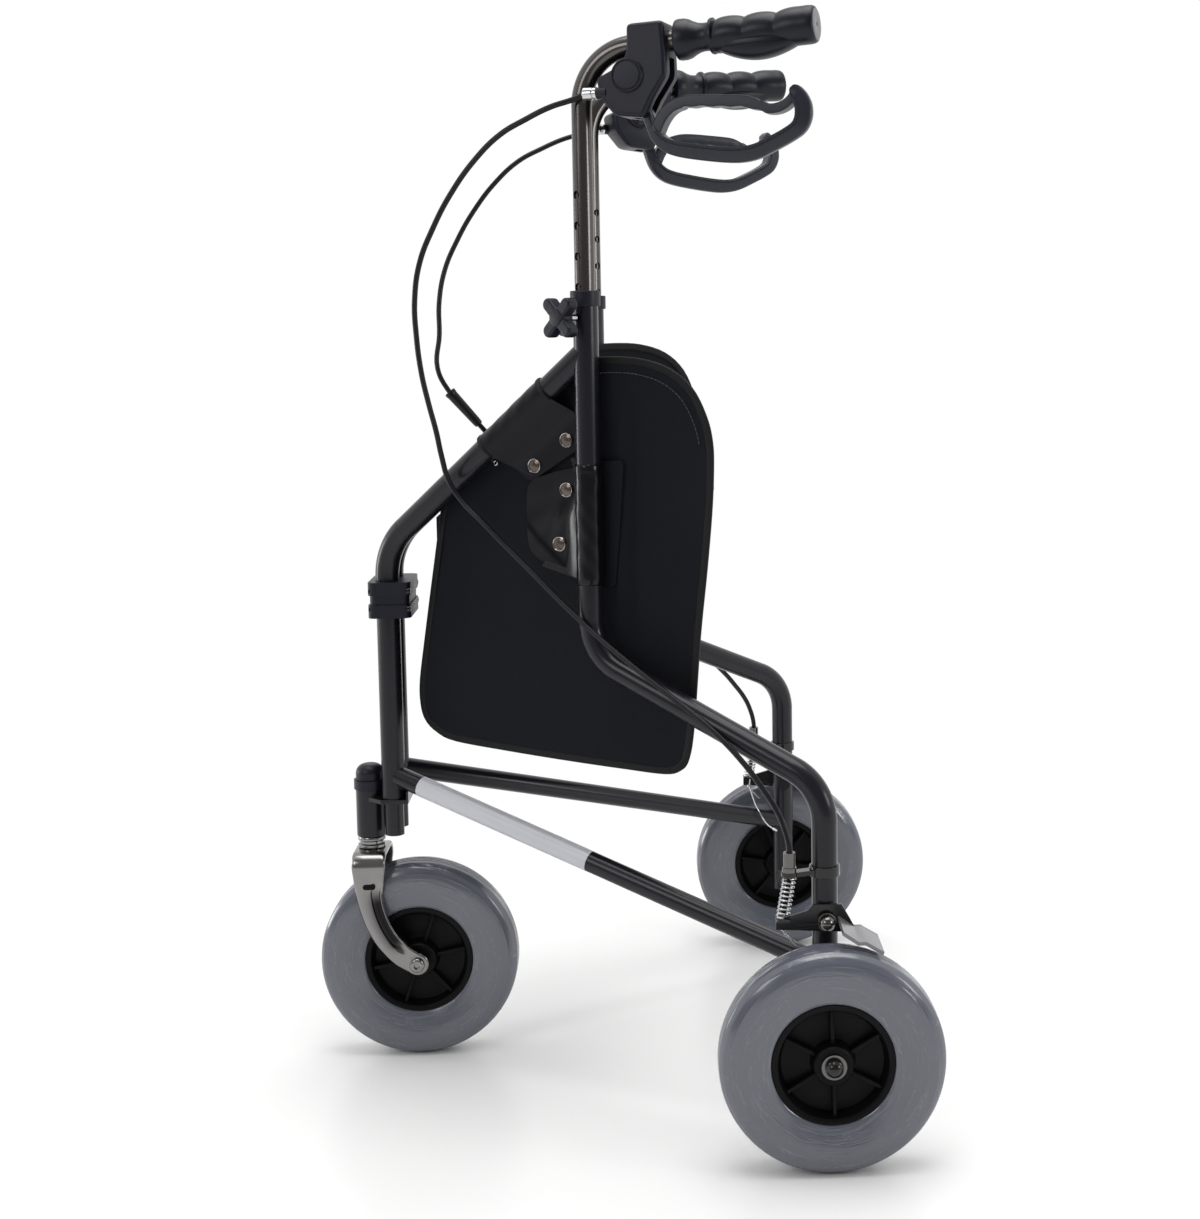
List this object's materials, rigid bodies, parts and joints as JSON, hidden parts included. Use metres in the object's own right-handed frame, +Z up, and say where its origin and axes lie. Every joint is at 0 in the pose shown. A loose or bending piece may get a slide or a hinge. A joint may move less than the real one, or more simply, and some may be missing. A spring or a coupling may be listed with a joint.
{
  "type": "three wheel rollator",
  "caption": "Folding three wheel walker with a swivelling front caster, height-set handles, loop hand brakes acting on the rear tyres, and a bag hung between its side frames.",
  "frame": {"origin": "on the floor, midway between the front and rear of the wheels and on the middle plane", "axes": "+Z up, +Y towards the user, +X towards the user's left"},
  "size_m": [0.6402, 0.5634, 0.9683],
  "materials": {
    "black": "moulded black plastic",
    "bright": "bright plating",
    "cloth": "coated black fabric",
    "frame": "satin dark grey paint",
    "grip": "soft grip",
    "handle": "satin grey metallic",
    "hub": "moulded black hub",
    "steel": "steel",
    "tyre": "blue grey soft tyre"
  },
  "bodies": {
    "head": {"head_tube": "frame", "head_cap": "black", "head_bushes": "black", "hinge_pins": "steel", "hinge_block_front": "black", "hinge_block_rear": "black", "hinge_block_screws": "bright", "bag_gusset": "cloth"},
    "caster": {"caster_stem": "bright", "caster_fork": "bright", "front_axle": "bright"},
    "front_wheel": {"front_tyre": "tyre", "front_hub": "hub", "front_bearings": "steel"},
    "left_side": {"left_front_tube": "frame", "left_rear_tube": "frame", "left_brace": "frame", "left_collar": "black", "left_axle": "bright", "left_cable_bracket": "black", "left_brake_fittings": "bright", "left_brake_spring": "steel", "left_brake_cable": "black", "left_bag_panel": "cloth", "left_bag_straps": "cloth"},
    "left_wheel": {"left_tyre": "tyre", "left_hub": "hub", "left_bearings": "steel"},
    "left_handle": {"left_handle_tube": "handle", "left_grip": "grip", "left_brake_housing": "black"},
    "left_lever": {"left_brake_lever": "black"},
    "left_arm": {"left_brake_arm": "black", "left_brake_wire": "steel"},
    "left_clamp": {"left_knob": "black"},
    "left_stay": {"left_stay_link": "frame"},
    "right_side": {"right_front_tube": "frame", "right_rear_tube": "frame", "right_brace": "frame", "right_collar": "black", "right_axle": "bright", "right_cable_bracket": "black", "right_brake_fittings": "bright", "right_brake_spring": "steel", "right_brake_cable": "black", "right_bag_panel": "cloth", "right_bag_straps": "cloth", "right_cable_sleeve": "black"},
    "right_wheel": {"right_tyre": "tyre", "right_hub": "hub", "right_bearings": "steel"},
    "right_handle": {"right_handle_tube": "handle", "right_grip": "grip", "right_brake_housing": "black"},
    "right_lever": {"right_brake_lever": "black"},
    "right_arm": {"right_brake_arm": "black", "right_brake_wire": "steel"},
    "right_clamp": {"right_knob": "black"},
    "right_stay": {"right_stay_link": "frame"}
  },
  "joints": [
    {"name": "caster_swivel", "type": "hinge", "parent": "head", "child": "caster", "pos_m": [0, -0.23071, 0.204], "axis": [0, 0, 1], "continuous": true},
    {"name": "front_wheel_spin", "type": "hinge", "parent": "caster", "child": "front_wheel", "pos_m": [0, -0.18671, 0.095], "axis": [1, 0, 0], "continuous": true},
    {"name": "left_fold", "type": "hinge", "parent": "head", "child": "left_side", "pos_m": [0.016, -0.20621, 0.2566], "axis": [0, 0, 1], "range_deg": [0, 24], "deforming": ["bag_gusset"]},
    {"name": "left_stay_turn", "type": "hinge", "parent": "left_side", "child": "left_stay", "pos_m": [0.10331, 0.00171, 0.546], "axis": [0, 0, 1], "range_deg": [-69.86, 0]},
    {"name": "left_wheel_spin", "type": "hinge", "parent": "left_side", "child": "left_wheel", "pos_m": [0.2904, 0.18671, 0.095], "axis": [1, 0, 0], "continuous": true},
    {"name": "left_height", "type": "slide", "parent": "left_side", "child": "left_handle", "axis": [0, 0, 1], "range_m": [-0.106, 0.026], "deforming": ["left_brake_cable"]},
    {"name": "left_knob_turn", "type": "hinge", "parent": "left_side", "child": "left_clamp", "pos_m": [0.12596, -0.01106, 0.711], "axis": [0.7071, -0.7071, 0], "continuous": true},
    {"name": "left_squeeze", "type": "hinge", "parent": "left_handle", "child": "left_lever", "pos_m": [0.14272, 0.03499, 0.916], "axis": [0.9397, -0.342, 0], "range_deg": [0, 9], "stiffness_Nm_per_rad": 2},
    {"name": "left_shoe_press", "type": "hinge", "parent": "left_side", "child": "left_arm", "pos_m": [0.2493, 0.18671, 0.2], "axis": [-1, 0, 0], "range_deg": [0, 3.5], "deforming": ["left_brake_spring"]},
    {"name": "right_fold", "type": "hinge", "parent": "head", "child": "right_side", "pos_m": [-0.016, -0.20621, 0.2566], "axis": [0, 0, 1], "range_deg": [-24, 0]},
    {"name": "right_stay_turn", "type": "hinge", "parent": "right_side", "child": "right_stay", "pos_m": [-0.10331, 0.00171, 0.546], "axis": [0, 0, 1], "range_deg": [0, 69.86]},
    {"name": "right_wheel_spin", "type": "hinge", "parent": "right_side", "child": "right_wheel", "pos_m": [-0.2904, 0.18671, 0.095], "axis": [1, 0, 0], "continuous": true},
    {"name": "right_height", "type": "slide", "parent": "right_side", "child": "right_handle", "axis": [0, 0, 1], "range_m": [-0.106, 0.026], "deforming": ["right_brake_cable"]},
    {"name": "right_knob_turn", "type": "hinge", "parent": "right_side", "child": "right_clamp", "pos_m": [-0.12596, -0.01106, 0.711], "axis": [-0.7071, -0.7071, 0], "continuous": true},
    {"name": "right_squeeze", "type": "hinge", "parent": "right_handle", "child": "right_lever", "pos_m": [-0.14272, 0.03499, 0.916], "axis": [0.9397, 0.342, 0], "range_deg": [0, 9], "stiffness_Nm_per_rad": 2},
    {"name": "right_shoe_press", "type": "hinge", "parent": "right_side", "child": "right_arm", "pos_m": [-0.2493, 0.18671, 0.2], "axis": [-1, 0, 0], "range_deg": [0, 3.5], "deforming": ["right_brake_spring"]}
  ],
  "couplings": [
    {"joint": "left_stay_turn", "follows": "left_fold", "ratio": -2.89},
    {"joint": "left_shoe_press", "follows": "left_squeeze", "ratio": 0.38889},
    {"joint": "right_fold", "follows": "left_fold", "ratio": -1},
    {"joint": "right_stay_turn", "follows": "left_fold", "ratio": 2.89},
    {"joint": "right_shoe_press", "follows": "right_squeeze", "ratio": 0.38889}
  ]
}
